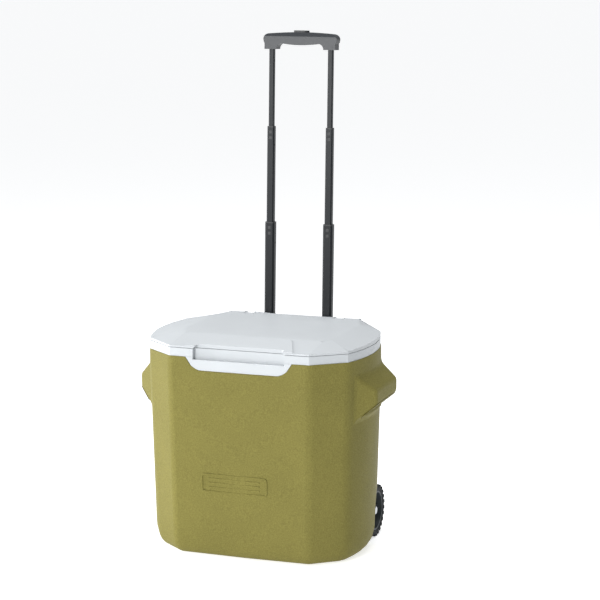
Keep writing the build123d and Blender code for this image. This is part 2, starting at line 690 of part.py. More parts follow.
# ---------------------------------------------------------------- telescoping handle: hand grip
with BuildPart() as grip_block:
    with BuildSketch(handle_front()):
        with BuildLine():
            ThreePointArc((0, HAND_TOP), (SHOULDER_X / 2, HAND_MID_TOP), (SHOULDER_X, HAND_SHOULDER))
            ThreePointArc((SHOULDER_X, HAND_SHOULDER), END_BOW, (HAND_HALF, END_Z))
            Polyline(
                (HAND_HALF, END_Z),
                (HAND_HALF - 1, STEP_Z + 2.5),
                (COLLAR_OUT, STEP_Z),
                (COLLAR_OUT, COLLAR_BOTTOM),
                (COLLAR_IN, COLLAR_BOTTOM),
            )
            ThreePointArc((COLLAR_IN, COLLAR_BOTTOM), INNER_BOW, (INNER_X, INNER_Z))
            ThreePointArc((INNER_X, INNER_Z), (INNER_X / 2, HAND_BELLY + 0.8), (0, HAND_BELLY))
            Line((0, HAND_BELLY), (0, HAND_TOP))
        make_face()
        mirror(about=Plane.YZ)
    extrude(amount=HAND_DEPTH / 2, both=True)
    with BuildSketch(Plane(handle_plane(0).origin, x_dir=(0, cos(TILT), -sin(TILT)), z_dir=(1, 0, 0))):
        with BuildLine():
            Polyline(
                (-HAND_DEPTH / 2, COLLAR_BOTTOM - 5),
                (-HAND_DEPTH / 2, HAND_EDGE),
                (-HAND_DEPTH / 2 + 6, HAND_EDGE + 14),
                (HAND_DEPTH / 2 - 6, HAND_EDGE + 14),
                (HAND_DEPTH / 2, HAND_EDGE),
                (HAND_DEPTH / 2, COLLAR_BOTTOM - 5),
                close=True,
            )
        make_face()
    extrude(amount=100, both=True, mode=Mode.INTERSECT)

with BuildPart() as grip_channel:
    with BuildSketch(handle_plane(CHANNEL_FLOOR)):
        Rectangle(2 * HANDLE_X + 8, 8)
        Circle(8.5)
    extrude(amount=YOKE_TOP + 0.6 - CHANNEL_FLOOR)
    with BuildSketch(handle_plane(CHANNEL_FLOOR)):
        SlotOverall(2 * BUTTON_A + 5, 2 * BUTTON_B + 0.6)
    extrude(amount=BUTTON_BOTTOM + 1.5 - CHANNEL_FLOOR)
    with BuildSketch(handle_plane(CHANNEL_FLOOR)):
        SlotOverall(2 * BUTTON_A + 0.6, 2 * BUTTON_B + 0.6)
    extrude(amount=60)
    for side in BOTH_SIDES:
        with BuildSketch(handle_plane(940, side * HANDLE_X)):
            cut_corner(*grow_section(UPPER, 0.0))
        extrude(amount=UPPER_TOP - 940)
        with BuildSketch(handle_plane(940, side * HANDLE_X)):
            Circle(2.4)
        extrude(amount=30)

with BuildPart() as grip_screws:
    for side in BOTH_SIDES:
        for radius, start, length in ((1.5, HAND_DEPTH / 2 - 1.6, 6.0), (2.8, HAND_DEPTH / 2 - 0.2, 1.8)):
            with BuildSketch(handle_front(start)):
                with Locations((side * 36.0, 974.5)):
                    Circle(radius)
            extrude(amount=length)
save(grip_screws.part, "grip_screws")

for name, keep in (("grip_base", Keep.BOTTOM), ("grip_cover", Keep.TOP)):
    with BuildPart() as shell:
        add(grip_block.part)
        add(grip_channel.part, mode=Mode.SUBTRACT)
        add(grip_screws.part, mode=Mode.SUBTRACT)
        split(bisect_by=handle_plane(HAND_SPLIT), keep=keep)
    save(shell.part, name)


# ---------------------------------------------------------------- release button and its rods
with BuildPart() as release_button:
    with BuildSketch(handle_plane(BUTTON_BOTTOM)):
        SlotOverall(2 * BUTTON_A, 2 * BUTTON_B)
    extrude(amount=BUTTON_TOP - BUTTON_BOTTOM)
    fillet(release_button.faces().sort_by(Axis.Z)[-1].edges(), 1.2)
    with BuildSketch(handle_plane(BUTTON_TOP - 0.8)):
        SlotOverall(2 * BUTTON_A - 8, 2 * BUTTON_B - 5)
    extrude(amount=5, taper=-40, mode=Mode.SUBTRACT)
    with BuildSketch(handle_plane(BUTTON_BOTTOM)):
        Circle(4.8)
    extrude(amount=BUTTON_TOP - BUTTON_BOTTOM - 3.5, mode=Mode.SUBTRACT)
save(release_button.part, "release_button")

with BuildPart() as release_yoke:
    with BuildSketch(handle_plane(YOKE_BOTTOM)):
        Rectangle(2 * HANDLE_X + 6, 6.5)
        Circle(7.5)
        Circle(4.8, mode=Mode.SUBTRACT)
    extrude(amount=YOKE_TOP - YOKE_BOTTOM)
    with BuildSketch(handle_plane(YOKE_TOP)):
        Circle(6.8)
        Circle(4.8, mode=Mode.SUBTRACT)
    extrude(amount=BUTTON_BOTTOM - YOKE_TOP)
save(release_yoke.part, "release_yoke")

with BuildPart() as push_rods:
    for side in BOTH_SIDES:
        with BuildSketch(handle_plane(UPPER_BOTTOM + 1, side * HANDLE_X)):
            Circle(1.6)
        extrude(amount=YOKE_BOTTOM - UPPER_BOTTOM - 1)
save(push_rods.part, "push_rods")

with BuildPart() as button_spring:
    add(coil(3.6, 0.8, 5, BUTTON_TOP - 3.5 - CHANNEL_FLOOR).moved(handle_plane(CHANNEL_FLOOR).location))
save(button_spring.part, "button_spring")


# ---------------------------------------------------------------- wheels
def wheel_hub(side):
    """Spoked hub: a barrel on the axle, a web set back from the face, ribs and a rim."""
    with BuildPart() as hub:
        with BuildSketch(Plane.XY):
            with BuildLine():
                Polyline(
                    (WHEEL_IN, AXLE_R + RUN_GAP),
                    (HUB_OUT, AXLE_R + RUN_GAP),
                    (HUB_OUT, HUB_R),
                    (WEB_OUT, HUB_R + 1.5),
                    (WEB_OUT, RIM_IN_R - 1),
                    (WHEEL_OUT - RIM_INSET, RIM_IN_R + 1),
                    (WHEEL_OUT - RIM_INSET, RIM_OUT_R),
                    (WHEEL_IN + 1, RIM_OUT_R),
                    (WHEEL_IN + 1, RIM_IN_R),
                    (WEB_IN, RIM_IN_R - 1),
                    (WEB_IN, HUB_R + 1),
                    (WHEEL_IN, HUB_R),
                    close=True,
                )
            make_face()
        revolve(axis=Axis.X)
        with BuildSketch(Plane.YZ.offset(WEB_OUT - 0.5)):
            with PolarLocations(0, SPOKES):
                with Locations((HUB_R - 1, 0)):
                    Rectangle(RIM_IN_R - HUB_R + 1.5, SPOKE_WIDTH, align=(Align.MIN, Align.CENTER))
        extrude(amount=SPOKE_DEPTH)
    placed = hub.part if side > 0 else hub.part.mirror(Plane.YZ)
    return placed.moved(Location((0, WHEEL_Y, WHEEL_R)))


def wheel_tyre(side):
    """Solid tyre with lugs round both shoulders."""
    with BuildPart() as tyre:
        with BuildSketch(Plane.XY):
            with BuildLine():
                Polyline(
                    (WHEEL_IN + 1.5, RIM_OUT_R),
                    (WHEEL_IN, SHOULDER_R),
                    (WHEEL_IN + 2.5, TREAD_R),
                    (WHEEL_OUT - 2.5, TREAD_R),
                    (WHEEL_OUT, SHOULDER_R),
                    (WHEEL_OUT - RIM_INSET, RIM_OUT_R),
                    close=True,
                )
            make_face()
        revolve(axis=Axis.X)
        for start, turn in ((WHEEL_IN + 1.0, 0.0), (WHEEL_OUT - 1.0 - LUG_LENGTH, 180.0 / LUGS)):
            with BuildSketch(Plane.YZ.offset(start)):
                with PolarLocations(0, LUGS, start_angle=turn):
                    with Locations((TREAD_R - 4, 0)):
                        Rectangle(WHEEL_R - TREAD_R + 4, LUG_WIDTH, align=(Align.MIN, Align.CENTER))
                Circle(WHEEL_R, mode=Mode.INTERSECT)
                Circle(TREAD_R - 3, mode=Mode.SUBTRACT)
            extrude(amount=LUG_LENGTH)
    placed = tyre.part if side > 0 else tyre.part.mirror(Plane.YZ)
    return placed.moved(Location((0, WHEEL_Y, WHEEL_R)))


for side_name, side in (("left", -1), ("right", 1)):
    save(wheel_hub(side), f"wheel_hub_{side_name}")
    save(wheel_tyre(side), f"tyre_{side_name}")
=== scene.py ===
"""Wheeled cooler: its visible pieces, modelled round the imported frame, and a plain studio to see it in."""

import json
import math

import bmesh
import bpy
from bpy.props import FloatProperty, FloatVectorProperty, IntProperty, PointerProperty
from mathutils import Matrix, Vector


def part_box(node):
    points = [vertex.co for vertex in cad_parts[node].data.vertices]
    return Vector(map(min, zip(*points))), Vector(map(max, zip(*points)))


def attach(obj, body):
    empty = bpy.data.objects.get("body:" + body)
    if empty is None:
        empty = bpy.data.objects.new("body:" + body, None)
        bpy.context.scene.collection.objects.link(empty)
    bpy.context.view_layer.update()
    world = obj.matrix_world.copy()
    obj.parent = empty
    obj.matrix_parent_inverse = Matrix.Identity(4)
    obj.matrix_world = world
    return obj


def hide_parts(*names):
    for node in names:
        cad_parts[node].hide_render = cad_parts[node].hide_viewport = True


bl_info = {
    "name": "Wheeled Cooler",
    "version": (1, 0, 0),
    "blender": (4, 5, 0),
    "location": "View3D > Sidebar > Cooler",
    "description": "Builds a moulded cooler with a hinged lid, a telescoping handle and two wheels",
    "category": "Object",
}

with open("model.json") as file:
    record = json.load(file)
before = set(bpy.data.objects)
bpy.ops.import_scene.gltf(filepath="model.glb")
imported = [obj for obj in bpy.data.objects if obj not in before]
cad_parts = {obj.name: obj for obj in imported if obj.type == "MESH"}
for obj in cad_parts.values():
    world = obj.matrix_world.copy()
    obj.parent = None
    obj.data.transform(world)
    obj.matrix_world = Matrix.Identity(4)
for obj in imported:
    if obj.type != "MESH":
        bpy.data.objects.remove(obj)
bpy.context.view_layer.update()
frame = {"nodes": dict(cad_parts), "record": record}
MM = 0.001

# ---------------------------------------------------------------- places read from the frame
SHELL_LOW, SHELL_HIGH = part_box("body_shell")
RIM_LOW, RIM_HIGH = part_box("inner_liner")
LID_LOW, LID_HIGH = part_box("lid_cover")
TYRE_LOW, TYRE_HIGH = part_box("tyre_right")
BUTTON_LOW, BUTTON_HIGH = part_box("release_button")

SHELL_TOP = SHELL_HIGH.z
SHELL_PROUD = 1.5 * MM              # the shell stands this far outside the rim
WHEEL_Y = (TYRE_LOW.y + TYRE_HIGH.y) / 2
WHEEL_Z = (TYRE_LOW.z + TYRE_HIGH.z) / 2
WELL_R = (TYRE_HIGH.z - TYRE_LOW.z) / 2 + 8 * MM
WELL_IN = TYRE_LOW.x - 6 * MM

# Plan of the rim, right half: front crease, side crease, bow of the short side, rear creases.
FRONT_MID = Vector((0.0, RIM_LOW.y + 0.7 * MM))
FRONT = Vector((140.0, -160.5)) * MM
SIDE = Vector((200.5, -112.0)) * MM
BULGE = Vector((219.5, -10.0)) * MM
REAR_SIDE = Vector((204.0, 82.0)) * MM
REAR = Vector((140.0, 160.0)) * MM
BOW_Y = [y * MM for y in (-92, -64, -32, 2, 36, 70)]
HANDLE_Y = (BOW_Y[0], BOW_Y[-1])


# ---------------------------------------------------------------- colours and nodes
def linear(hex_colour):
    """sRGB hex as the linear colour that shaders take."""
    channels = [int(hex_colour[i:i + 2], 16) / 255 for i in (1, 3, 5)]
    return [c / 12.92 if c <= 0.04045 else ((c + 0.055) / 1.055) ** 2.4 for c in channels] + [1.0]


def add_node(tree, kind, values=None, **settings):
    """Adds a node. values fills its inputs, with a socket or a constant each; settings are its own fields."""
    node = tree.nodes.new(kind)
    for field, value in settings.items():
        setattr(node, field, value)
    for name, value in (values or {}).items():
        if isinstance(value, bpy.types.NodeSocket):
            tree.links.new(value, node.inputs[name])
        else:
            node.inputs[name].default_value = value
    return node


def new_material(name, colour, **shader_values):
    """Material with one principled shader. Returns it with its tree, its shader and object coordinates."""
    material = bpy.data.materials.new(name)
    material.use_nodes = True
    tree = material.node_tree
    shader = tree.nodes["Principled BSDF"]
    shader.inputs["Base Color"].default_value = colour
    for socket, value in shader_values.items():
        shader.inputs[socket.replace("_", " ")].default_value = value
    place = add_node(tree, "ShaderNodeTexCoord").outputs["Object"]
    return material, tree, shader, place


def noise(tree, place, size, detail=2.0, roughness=0.5):
    """Noise whose lumps are about size across, in metres."""
    values = {"Vector": place, "Scale": 1.0 / size, "Detail": detail, "Roughness": roughness}
    return add_node(tree, "ShaderNodeTexNoise", values).outputs["Fac"]


def tinted(tree, shader, factor, low, high, first=0.3, last=0.7):
    """Base colour that runs from low to high with factor."""
    ramp = add_node(tree, "ShaderNodeValToRGB", {"Fac": factor})
    ramp.color_ramp.elements[0].position, ramp.color_ramp.elements[0].color = first, low
    ramp.color_ramp.elements[1].position, ramp.color_ramp.elements[1].color = last, high
    tree.links.new(ramp.outputs["Color"], shader.inputs["Base Color"])


def spread(tree, factor, low, high):
    """Factor, from 0 to 1, stretched to run from low to high."""
    return add_node(tree, "ShaderNodeMapRange", {"Value": factor, "To Min": low, "To Max": high}).outputs["Result"]


def bumped(tree, shader, *layers):
    """Bump from (height socket, depth in metres, strength) layers, one on the other."""
    normal = None
    for height, depth, strength in layers:
        values = {"Height": height, "Distance": depth, "Strength": strength}
        if normal is not None:
            values["Normal"] = normal
        normal = add_node(tree, "ShaderNodeBump", values).outputs["Normal"]
    tree.links.new(normal, shader.inputs["Normal"])


def shade(colour, factor):
    """Colour made lighter or darker."""
    return [c * factor for c in colour[:3]] + [1.0]


# ---------------------------------------------------------------- materials
def pebbled_polyethylene(colour, grain):
    """Blow-moulded polyethylene from a blasted mould: low pebbles that break up a soft, waxy sheen, with a painted
    highlight that makes the pebble tops lighter, over a random cloudy tone.
    """
    material, tree, shader, place = new_material(
        "pebbled_polyethylene", colour, Roughness=0.55, IOR=1.51, Specular_IOR_Level=0.06)
    pebbles = noise(tree, place, grain, 2.0)
    fine = noise(tree, place, grain * 0.35, 1.0)
    clouds = noise(tree, place, 90 * MM, 3.0)
    # Base colour: a painted highlight that makes the pebble tops lighter, mixed with a random cloudy tone.
    pebble_highlight_and_tone = add_node(tree, "ShaderNodeMath", {0: spread(tree, pebbles, 0.0, 0.8), 1: spread(tree, clouds, 0.0, 0.2)})
    tinted(tree, shader, pebble_highlight_and_tone.outputs[0], shade(colour, 0.84), shade(colour, 1.17), 0.34, 0.66)
    tree.links.new(spread(tree, pebbles, 0.62, 0.42), shader.inputs["Roughness"])
    bumped(tree, shader, (pebbles, 0.55 * MM, 0.5), (fine, 0.12 * MM, 0.4))
    return material


def grained_polypropylene(name, colour, grain, depth, roughness):
    """Injection-moulded polypropylene with an etched grain: even colour, and a fine sparkle in its sheen."""
    material, tree, shader, place = new_material(name, colour, IOR=1.49, Roughness=roughness)
    etched = noise(tree, place, grain, 2.0)
    clouds = noise(tree, place, 120 * MM, 2.0)
    tinted(tree, shader, clouds, shade(colour, 0.965), shade(colour, 1.02))
    tree.links.new(spread(tree, etched, roughness + 0.1, roughness - 0.08), shader.inputs["Roughness"])
    bumped(tree, shader, (etched, depth, 0.5))
    return material


def powder_coated_aluminium(colour):
    """Extruded aluminium under satin powder coat: a dark, even film with a faint orange peel."""
    material, tree, shader, place = new_material(
        "powder_coated_aluminium", colour, Roughness=0.42, IOR=1.5, Specular_IOR_Level=0.22)
    peel = noise(tree, place, 1.4 * MM, 1.0)
    stretched = add_node(tree, "ShaderNodeMapping", {"Vector": place, "Scale": (1.0, 1.0, 0.04)}).outputs["Vector"]
    rubs = noise(tree, stretched, 1.2 * MM, 2.0)
    tinted(tree, shader, rubs, shade(colour, 0.9), shade(colour, 1.12))
    tree.links.new(spread(tree, rubs, 0.32, 0.44), shader.inputs["Roughness"])
    bumped(tree, shader, (peel, 0.05 * MM, 0.4))
    return material


def thermoplastic_rubber(colour):
    """Moulded thermoplastic rubber: nearly black and dull, with dust that greys it in patches."""
    material, tree, shader, place = new_material(
        "thermoplastic_rubber", colour, Roughness=0.78, IOR=1.5, Specular_IOR_Level=0.35)
    scuffs = noise(tree, place, 6 * MM, 4.0)
    grit = noise(tree, place, 0.9 * MM, 1.0)
    tinted(tree, shader, scuffs, shade(colour, 0.8), shade(colour, 1.35))
    tree.links.new(spread(tree, scuffs, 0.7, 0.88), shader.inputs["Roughness"])
    bumped(tree, shader, (grit, 0.12 * MM, 0.45))
    return material


def zinc_plated_steel(colour):
    """Cold-drawn steel with a bright zinc plating: grey metal, with drawing lines in its sheen."""
    material, tree, shader, place = new_material(
        "zinc_plated_steel", colour, Metallic=1.0, Roughness=0.32)
    lines = noise(tree, place, 0.8 * MM, 3.0)
    tinted(tree, shader, lines, shade(colour, 0.85), shade(colour, 1.08))
    tree.links.new(spread(tree, lines, 0.26, 0.42), shader.inputs["Roughness"])
    bumped(tree, shader, (lines, 0.03 * MM, 0.3))
    return material


def polyurethane_foam(colour):
    """Rigid foam poured between the skins: dull straw yellow, with open cells."""
    material, tree, shader, place = new_material("polyurethane_foam", colour, Roughness=0.92, IOR=1.4)
    cells = noise(tree, place, 1.5 * MM, 2.0)
    tinted(tree, shader, cells, shade(colour, 0.8), shade(colour, 1.1))
    bumped(tree, shader, (cells, 0.5 * MM, 0.6))
    return material


def all_materials(colours, grain):
    """Every finish of the cooler, by the record's slot name, and the coarse band of the lid."""
    return {
        "shell": pebbled_polyethylene(colours.shell, grain),
        "white": grained_polypropylene("etched_polypropylene_white", colours.lid, 1.5 * MM, 0.10 * MM, 0.46),
        "coarse": grained_polypropylene("coarse_polypropylene_white", colours.lid, 2.4 * MM, 0.5 * MM, 0.5),
        "smooth": grained_polypropylene("satin_polypropylene_white", colours.lid, 6.0 * MM, 0.05 * MM, 0.38),
        "foam": polyurethane_foam(linear("#dccb97")),
        "tube": powder_coated_aluminium(colours.tube),
        "black_plastic": grained_polypropylene("satin_nylon_black", linear("#1b1d1f"), 1.2 * MM, 0.06 * MM, 0.45),
        "grip": grained_polypropylene("satin_polypropylene_charcoal", linear("#272a2e"), 1.3 * MM, 0.08 * MM, 0.42),
        "hub": grained_polypropylene("polypropylene_blue_grey", linear("#2c3336"), 1.3 * MM, 0.08 * MM, 0.5),
        "tyre": thermoplastic_rubber(linear("#1d1f22")),
        "steel": zinc_plated_steel(linear("#b4b7bb")),
    }


MATERIALS = {}


# ---------------------------------------------------------------- mesh helpers
def finish_piece(bm, name, finish, body, nodes, crease=math.radians(32)):
    """Turns a bmesh into a piece that rides on a body and stands for CAD nodes."""
    bmesh.ops.remove_doubles(bm, verts=bm.verts, dist=0.002 * MM)
    bmesh.ops.recalc_face_normals(bm, faces=bm.faces)
    for face in bm.faces:
        face.smooth = True
    for edge in bm.edges:
        edge.smooth = len(edge.link_faces) == 2 and edge.calc_face_angle() < crease
    mesh = bpy.data.meshes.new(name)
    bm.to_mesh(mesh)
    bm.free()
    mesh.materials.append(MATERIALS[finish])
    piece = bpy.data.objects.new(name, mesh)
    bpy.context.scene.collection.objects.link(piece)
    shading = piece.modifiers.new("flat_faces_stay_flat", "WEIGHTED_NORMAL")
    shading.keep_sharp, shading.weight = True, 80
    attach(piece, body)
    if nodes:
        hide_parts(*nodes)
    return piece


def evaluated(bm, add_modifiers):
    """The bmesh after modifiers that add_modifiers puts on a scratch object."""
    mesh = bpy.data.meshes.new("scratch")
    bm.to_mesh(mesh)
    bm.free()
    scratch = bpy.data.objects.new("scratch", mesh)
    bpy.context.scene.collection.objects.link(scratch)
    helpers = add_modifiers(scratch) or []
    graph = bpy.context.evaluated_depsgraph_get()
    result = bpy.data.meshes.new_from_object(scratch.evaluated_get(graph))
    made = bmesh.new()
    made.from_mesh(result)
    for obj in [scratch, *helpers]:
        bpy.data.objects.remove(obj)
    return made


def combined(bm, other, operation="DIFFERENCE"):
    """The bmesh with other taken away from it or joined to it. Both are closed."""
    def add_boolean(scratch):
        mesh = bpy.data.meshes.new("other")
        other.to_mesh(mesh)
        other.free()
        helper = bpy.data.objects.new("other", mesh)
        bpy.context.scene.collection.objects.link(helper)
        modifier = scratch.modifiers.new("boolean", "BOOLEAN")
        modifier.object, modifier.operation, modifier.solver = helper, operation, "EXACT"
        return [helper]
    return evaluated(bm, add_boolean)


def rounded(bm, width_rule, segments):
    """The bmesh with edges rounded, each by its own width. width_rule maps the bmesh's edges to metres."""
    layer = bm.edges.layers.float.new("bevel_weight_edge")
    widths = width_rule(bm)
    widest = max(widths.values())
    for edge, width in widths.items():
        edge[layer] = width / widest

    def add_bevel(scratch):
        modifier = scratch.modifiers.new("rounding", "BEVEL")
        modifier.limit_method, modifier.width, modifier.segments = "WEIGHT", widest, segments
        modifier.use_clamp_overlap = False
    return evaluated(bm, add_bevel)


def bevel_edges(bm, edges, width, segments=2):
    """Rounds some edges by one width."""
    bmesh.ops.bevel(bm, geom=edges, offset=width, offset_type="OFFSET", segments=segments, profile=0.5,
                    affect="EDGES", material=-1, clamp_overlap=True)


def sharp_edges(bm, angle=math.radians(30), where=lambda middle: True):
    """Edges whose faces meet at more than an angle, and whose middle passes a test."""
    found = []
    for edge in bm.edges:
        if len(edge.link_faces) == 2 and edge.calc_face_angle() > angle:
            if where((edge.verts[0].co + edge.verts[1].co) / 2):
                found.append(edge)
    return found


def pull_faces(bm, faces):
    """Extrudes a patch of faces in place, and returns the new faces and vertices."""
    made = bmesh.ops.extrude_face_region(bm, geom=faces)["geom"]
    bmesh.ops.delete(bm, geom=faces, context="FACES")
    new_faces = [g for g in made if isinstance(g, bmesh.types.BMFace)]
    new_verts = [g for g in made if isinstance(g, bmesh.types.BMVert)]
    return new_faces, new_verts


def softened(node, width, segments=2):
    """A copy of a CAD node's mesh with flat facets joined and sharp edges rounded."""
    bm = bmesh.new()
    bm.from_mesh(frame["nodes"][node].data)
    bmesh.ops.remove_doubles(bm, verts=bm.verts, dist=0.002 * MM)
    bmesh.ops.dissolve_limit(bm, angle_limit=math.radians(0.6), verts=bm.verts, edges=bm.edges)
    if width:
        bevel_edges(bm, sharp_edges(bm), width, segments)
    return bm


# ---------------------------------------------------------------- plan outline
def bow_x(y):
    """Where the bowed short side is at y: a circle through its two ends and its bulge."""
    a, b, c = SIDE, BULGE, REAR_SIDE
    d = 2 * (a.x * (b.y - c.y) + b.x * (c.y - a.y) + c.x * (a.y - b.y))
    sums = [p.length_squared for p in (a, b, c)]
    centre_x = (sums[0] * (b.y - c.y) + sums[1] * (c.y - a.y) + sums[2] * (a.y - b.y)) / d
    centre_y = (sums[0] * (c.x - b.x) + sums[1] * (a.x - c.x) + sums[2] * (b.x - a.x)) / d
    radius = (a - Vector((centre_x, centre_y))).length
    return centre_x + math.sqrt(radius ** 2 - (y - centre_y) ** 2)


def plan_points(grow=0.0):
    """The rim's plan from the front middle round by the right, every side moved outwards by grow."""
    half = [FRONT, SIDE, *[Vector((bow_x(y), y)) for y in BOW_Y], REAR_SIDE, REAR]
    left = [Vector((-p.x, p.y)) for p in reversed(half)]
    points = [FRONT_MID, *half, Vector((0.0, REAR.y)), *left]
    moved = []
    for i, point in enumerate(points):
        before, after = points[i - 1], points[(i + 1) % len(points)]
        first, second = (point - before).normalized(), (after - point).normalized()
        normals = Vector((first.y, -first.x)), Vector((second.y, -second.x))
        mitre = (normals[0] + normals[1]) / (1 + normals[0].dot(normals[1]))
        moved.append(point + mitre * grow)
    return moved


def ring_face(bm, points, heights, downwards=False):
    """One flat face from plan points. heights is one height, or one for each point."""
    if not hasattr(heights, "__len__"):
        heights = [heights] * len(points)
    verts = [bm.verts.new((p.x, p.y, z)) for p, z in zip(points, heights)]
    return bm.faces.new(reversed(verts) if downwards else verts)


# ---------------------------------------------------------------- the body's shell
LEVELS = (  # height, how far the wall stands outside the rim, and how much less the short sides lean
    (SHELL_TOP, SHELL_PROUD, 0.0),
    (362 * MM, 0.32 * MM, 0.4 * MM),
    (275 * MM, -2.89 * MM, 1.4 * MM),
    (36 * MM, -11.7 * MM, 4.2 * MM),
    (12 * MM, -17.5 * MM, 4.2 * MM),
    (0.0, -28.0 * MM, 4.2 * MM),
)
GRIP_TIP_X = SHELL_HIGH.x
GRIP_TIP_Y, GRIP_TIP_Z = (-62 * MM, 68 * MM), (306 * MM, 332 * MM)
SCOOP_X, SCOOP_Y, SCOOP_TOP = (211 * MM, 234 * MM), (-54 * MM, 60 * MM), 338 * MM
UNDERCUT_Y, UNDERCUT_SLOPE = 92 * MM, math.radians(33)
TONGUE_TOP_X, TONGUE_LOW_X, TONGUE_BOTTOM, TONGUE_ROUND = 107.8 * MM, 90.8 * MM, 368.7 * MM, 18 * MM


def body_cage():
    """Coarse closed block of the body, with its carrying handles pulled out of the short sides."""
    bm = bmesh.new()
    floor = ring_face(bm, plan_points(SHELL_PROUD), SHELL_TOP, downwards=True)
    for (top, outer, ease), (bottom, inner, low_ease) in zip(LEVELS, LEVELS[1:]):
        bmesh.ops.inset_region(bm, faces=[floor], thickness=outer - inner, use_boundary=True,
                               use_even_offset=True)
        for vert in floor.verts:
            if SIDE.y + 10 * MM < vert.co.y < REAR_SIDE.y + 10 * MM:
                vert.co.x += math.copysign(low_ease - ease, vert.co.x)
            vert.co.z = bottom
    bmesh.ops.contextual_create(bm, geom=[e for e in bm.edges if e.is_boundary])
    bmesh.ops.recalc_face_normals(bm, faces=bm.faces)

    for side in (-1, 1):
        patch = [
            f for f in bm.faces
            if f.calc_center_median().x * side > 190 * MM and LEVELS[2][0] < f.calc_center_median().z < LEVELS[1][0]
            and HANDLE_Y[0] < f.calc_center_median().y < HANDLE_Y[1]
        ]
        outer_faces, outer_verts = pull_faces(bm, patch)
        for vert in outer_verts:
            along = (vert.co.y - HANDLE_Y[0]) / (HANDLE_Y[1] - HANDLE_Y[0])
            high = vert.co.z > (LEVELS[1][0] + LEVELS[2][0]) / 2
            vert.co = (side * GRIP_TIP_X, GRIP_TIP_Y[0] + along * (GRIP_TIP_Y[1] - GRIP_TIP_Y[0]), GRIP_TIP_Z[high])
        bm.normal_update()
        belly = [
            f for f in bm.faces
            if f.normal.z < -0.3 and f.calc_center_median().x * side > 200 * MM
            and LEVELS[2][0] < f.calc_center_median().z < GRIP_TIP_Z[0]
        ]
        bmesh.ops.inset_region(bm, faces=belly, thickness=8.5 * MM, use_even_offset=True)
        roof_faces, roof_verts = pull_faces(bm, belly)
        middle_x = sum(v.co.x * side for v in roof_verts) / len(roof_verts)
        low_y, high_y = min(v.co.y for v in roof_verts), max(v.co.y for v in roof_verts)
        for vert in roof_verts:
            along = (vert.co.y - low_y) / (high_y - low_y)
            vert.co.y = SCOOP_Y[0] + along * (SCOOP_Y[1] - SCOOP_Y[0])
            vert.co.x = side * SCOOP_X[vert.co.x * side > middle_x]
            vert.co.z = SCOOP_TOP
    bm.normal_update()
    return bm


def crease_widths(bm):
    """How far each crease of the body's cage is rounded."""
    widths = {}
    for edge in sharp_edges(bm, math.radians(13)):
        middle = (edge.verts[0].co + edge.verts[1].co) / 2
        upright = abs((edge.verts[0].co - edge.verts[1].co).normalized().z)
        if middle.z > SHELL_TOP - 1 * MM:
            continue
        width = 9 * MM if upright > 0.7 else 12 * MM
        if middle.z < 20 * MM:
            width = 7 * MM
        if abs(middle.x) > BULGE.x - 3 * MM or LEVELS[2][0] - 1 * MM < middle.z < LEVELS[1][0] + 1 * MM:
            if HANDLE_Y[0] - 1 * MM < middle.y < HANDLE_Y[1] + 1 * MM and abs(middle.x) > 198 * MM:
                width = 5.5 * MM
        if SCOOP_Y[0] - 1 * MM < middle.y < SCOOP_Y[1] + 1 * MM and 208 * MM < abs(middle.x) < 238 * MM:
            if 276 * MM < middle.z < 340 * MM and abs(middle.x) < GRIP_TIP_X - 6 * MM:
                width = 2.5 * MM
        widths[edge] = width
    return widths


def well_cutter(side):
    """Round-topped prism over one wheel, open below."""
    bm = bmesh.new()
    bmesh.ops.create_cone(bm, cap_ends=True, segments=72, radius1=WELL_R, radius2=WELL_R, depth=0.1)
    bmesh.ops.rotate(bm, verts=bm.verts, matrix=Matrix.Rotation(math.pi / 2, 3, "Y"))
    for vert in bm.verts:
        if vert.co.z < -1e-5:
            vert.co.z = -WHEEL_Z - 20 * MM
    bmesh.ops.translate(bm, verts=bm.verts, vec=(side * (WELL_IN + 0.05), WHEEL_Y, WHEEL_Z))
    bmesh.ops.recalc_face_normals(bm, faces=bm.faces)
    return bm


def notch_cutter():
    """Prism of the notch that the rim's tongue fills, through the front wall."""
    bm = bmesh.new()
    corners = (
        (-TONGUE_TOP_X, SHELL_TOP + 1 * MM),
        (-TONGUE_LOW_X, TONGUE_BOTTOM),
        (TONGUE_LOW_X, TONGUE_BOTTOM),
        (TONGUE_TOP_X, SHELL_TOP + 1 * MM),
    )
    face = bm.faces.new([bm.verts.new((x, -180 * MM, z)) for x, z in corners])
    made = bmesh.ops.extrude_face_region(bm, geom=[face])["geom"]
    bmesh.ops.translate(bm, verts=[g for g in made if isinstance(g, bmesh.types.BMVert)], vec=(0, 30 * MM, 0))
    low = [e for e in bm.edges if all(abs(v.co.z - TONGUE_BOTTOM) < 1e-6 for v in e.verts)
           and abs(e.verts[0].co.y - e.verts[1].co.y) > 1 * MM]
    bevel_edges(bm, low, TONGUE_ROUND, 9)
    bmesh.ops.recalc_face_normals(bm, faces=bm.faces)
    return bm


